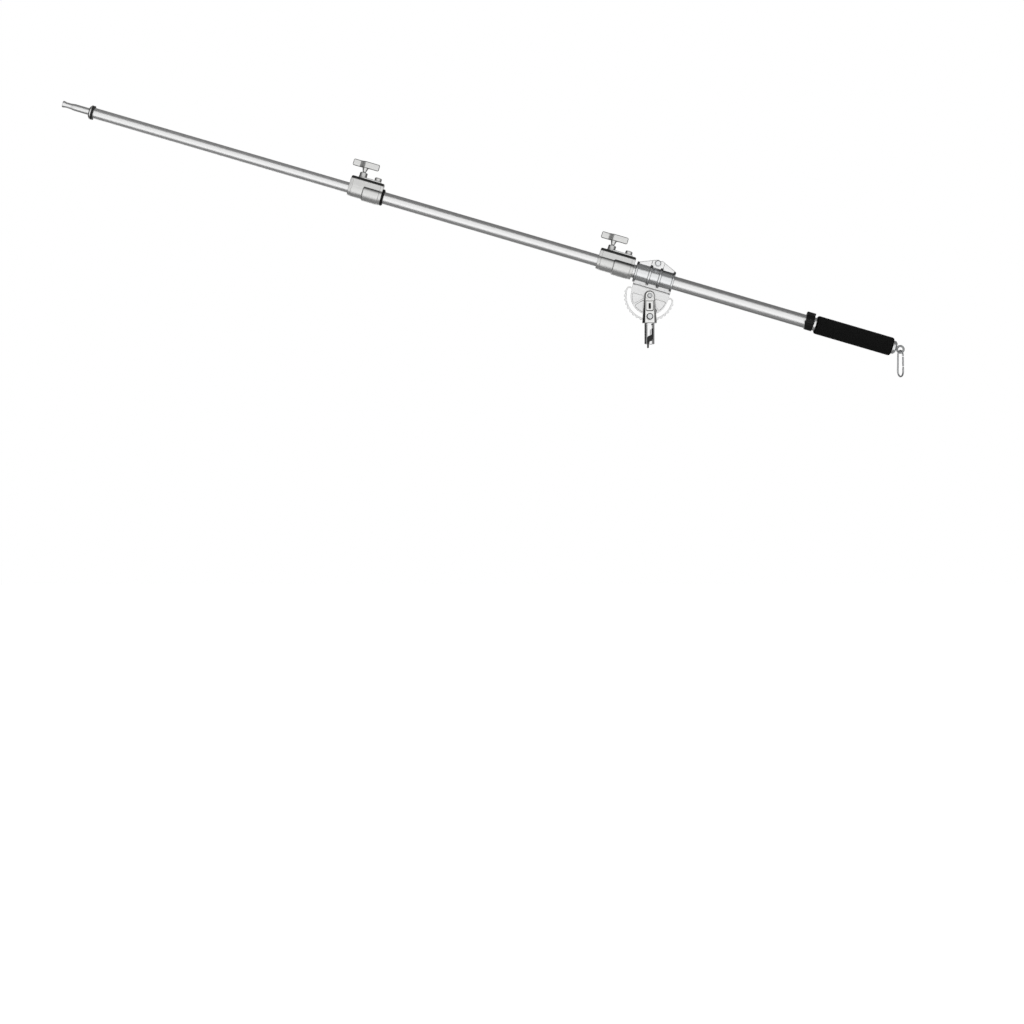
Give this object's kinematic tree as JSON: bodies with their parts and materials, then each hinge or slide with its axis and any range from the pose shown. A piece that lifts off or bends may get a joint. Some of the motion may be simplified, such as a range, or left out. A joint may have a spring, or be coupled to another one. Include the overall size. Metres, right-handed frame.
{
  "type": "overhead boom arm",
  "caption": "Telescoping overhead boom arm in a tilting split-sleeve head on a stand socket, with clamp collars, lamp stud, stop clip, foam grip and a spring hook.",
  "frame": {"origin": "centre of the stand socket's mouth", "axes": "-Z out of the socket's mouth, +X towards the foam grip, tilt axis along Y; the lamp stud is at -X"},
  "size_m": [1.9819, 0.0629, 0.6498],
  "materials": {
    "tube_steel": "polished",
    "satin_casting": "satin",
    "grey_casting": "matte",
    "screw_steel": "satin",
    "black_plastic": "satin",
    "black_rubber": "matte",
    "black_foam": "matte",
    "white_nylon": "satin",
    "brass": "satin"
  },
  "bodies": {
    "stand_head": {"stand_socket": "tube_steel", "yoke": "satin_casting", "socket_pin_left": "screw_steel", "socket_pin_right": "screw_steel", "pivot_bolt": "screw_steel", "pivot_nut": "screw_steel", "pivot_washer_front": "white_nylon", "pivot_washer_rear": "white_nylon", "tilt_lock_bolt": "screw_steel"},
    "tilt_lock_clamp": {"tilt_lock_washer": "screw_steel"},
    "tilt_lock_knob": {"tilt_lock_handle": "satin_casting"},
    "socket_clamp": {"socket_pad": "brass"},
    "socket_knob": {"socket_screw": "screw_steel", "socket_handle": "satin_casting"},
    "tilt_head": {"clamp_sleeve": "tube_steel", "tilt_plate": "grey_casting", "plate_pin_left": "screw_steel", "plate_pin_right": "screw_steel", "sleeve_clamp_bolt": "screw_steel"},
    "sleeve_clamp": {"sleeve_clamp_washer": "screw_steel"},
    "sleeve_clamp_knob": {"sleeve_clamp_handle": "satin_casting"},
    "liner": {"sleeve_liner": "black_plastic"},
    "outer_boom": {"outer_tube": "tube_steel", "collar2_casting": "satin_casting", "collar2_lock_screw": "satin_casting", "stop_clip_upper": "black_plastic", "stop_clip_lower": "black_plastic", "stop_clip_screw_front": "screw_steel", "stop_clip_screw_rear": "screw_steel", "foam_grip": "black_foam", "end_plug": "tube_steel", "tail_eye": "tube_steel"},
    "collar2_clamp": {"collar2_pad": "brass"},
    "collar2_knob": {"collar2_screw": "screw_steel", "collar2_handle": "satin_casting"},
    "middle_glide": {"mid_glide": "white_nylon"},
    "middle_boom": {"mid_tube": "tube_steel", "collar1_casting": "satin_casting", "collar1_lock_screw": "satin_casting", "collar1_end_ring": "black_plastic"},
    "collar1_clamp": {"collar1_pad": "brass"},
    "collar1_knob": {"collar1_screw": "screw_steel", "collar1_handle": "satin_casting"},
    "tip_glide": {"inner_glide": "white_nylon"},
    "tip_boom": {"inner_tube": "tube_steel", "tip_stud": "tube_steel", "rubber_ring": "black_rubber"},
    "hook": {"hook_body": "tube_steel", "hook_gate_pin": "screw_steel"},
    "gate": {"hook_gate": "tube_steel", "hook_gate_spring": "screw_steel"}
  },
  "joints": [
    {"name": "boom_tilt", "type": "hinge", "parent": "stand_head", "child": "tilt_head", "pos_m": [0, 0, 0.1135], "axis": [0, 1, 0], "range_deg": [-91.3, 58.67]},
    {"name": "boom_roll", "type": "hinge", "parent": "tilt_head", "child": "liner", "pos_m": [0.01282, 0, 0.15726], "axis": [0.9597, 0, -0.2812], "continuous": true},
    {"name": "boom_slide", "type": "slide", "parent": "liner", "child": "outer_boom", "axis": [0.9597, 0, -0.2812], "range_m": [-0.3195, 0.005]},
    {"name": "middle_slide", "type": "slide", "parent": "outer_boom", "child": "middle_glide", "axis": [0.9597, 0, -0.2812], "range_m": [0, 0.521]},
    {"name": "middle_roll", "type": "hinge", "parent": "middle_glide", "child": "middle_boom", "pos_m": [0.01282, 0, 0.15726], "axis": [0.9597, 0, -0.2812], "continuous": true},
    {"name": "tip_slide", "type": "slide", "parent": "middle_boom", "child": "tip_glide", "axis": [0.9597, 0, -0.2812], "range_m": [0, 0.622]},
    {"name": "tip_roll", "type": "hinge", "parent": "tip_glide", "child": "tip_boom", "pos_m": [0.01282, 0, 0.15726], "axis": [0.9597, 0, -0.2812], "continuous": true},
    {"name": "tilt_lock_screw_slide", "type": "slide", "parent": "stand_head", "child": "tilt_lock_clamp", "axis": [0, 1, 0], "range_m": [0, 0.00187]},
    {"name": "tilt_lock_screw_turn", "type": "hinge", "parent": "tilt_lock_clamp", "child": "tilt_lock_knob", "pos_m": [0, 0.01365, 0.0645], "axis": [0, 1, 0], "range_deg": [0, 540]},
    {"name": "socket_screw_slide", "type": "slide", "parent": "stand_head", "child": "socket_clamp", "axis": [0, -1, 0], "range_m": [0, 0.0015]},
    {"name": "socket_screw_turn", "type": "hinge", "parent": "socket_clamp", "child": "socket_knob", "pos_m": [0, -0.00955, 0.0124], "axis": [0, -1, 0], "range_deg": [0, 540]},
    {"name": "sleeve_clamp_screw_slide", "type": "slide", "parent": "tilt_head", "child": "sleeve_clamp", "axis": [0, 1, 0], "range_m": [0, 0.00187]},
    {"name": "sleeve_clamp_screw_turn", "type": "hinge", "parent": "sleeve_clamp", "child": "sleeve_clamp_knob", "pos_m": [0.01932, 0.01205, 0.1887], "axis": [0, 1, 0], "range_deg": [0, 540]},
    {"name": "collar2_screw_slide", "type": "slide", "parent": "outer_boom", "child": "collar2_clamp", "axis": [0.2812, 0, 0.9597], "range_m": [0, 0.00187]},
    {"name": "collar2_screw_turn", "type": "hinge", "parent": "collar2_clamp", "child": "collar2_knob", "pos_m": [-0.09921, 0, 0.19008], "axis": [0.2812, 0, 0.9597], "range_deg": [0, 540]},
    {"name": "collar1_screw_slide", "type": "slide", "parent": "middle_boom", "child": "collar1_clamp", "axis": [0.2812, 0, 0.9597], "range_m": [0, 0.00187]},
    {"name": "collar1_screw_turn", "type": "hinge", "parent": "collar1_clamp", "child": "collar1_knob", "pos_m": [-0.68266, 0, 0.36103], "axis": [0.2812, 0, 0.9597], "range_deg": [0, 540]},
    {"name": "hook_swing", "type": "hinge", "parent": "outer_boom", "child": "hook", "pos_m": [0.58938, 0, -0.01167], "axis": [0, 1, 0], "range_deg": [-170, 25]},
    {"name": "gate_open", "type": "hinge", "parent": "hook", "child": "gate", "pos_m": [0.59772, 0.01067, -0.05389], "axis": [-0.788, 0.6157, 0], "range_deg": [-25, 0], "stiffness_Nm_per_rad": 0.03, "springref_deg": 11.46}
  ],
  "couplings": [
    {"joint": "tilt_lock_screw_turn", "follows": "tilt_lock_screw_slide", "rad_per_m": 5026.5},
    {"joint": "socket_screw_turn", "follows": "socket_screw_slide", "rad_per_m": 6283.2},
    {"joint": "sleeve_clamp_screw_turn", "follows": "sleeve_clamp_screw_slide", "rad_per_m": 5026.5},
    {"joint": "collar2_screw_turn", "follows": "collar2_screw_slide", "rad_per_m": 5026.5},
    {"joint": "collar1_screw_turn", "follows": "collar1_screw_slide", "rad_per_m": 5026.5}
  ]
}
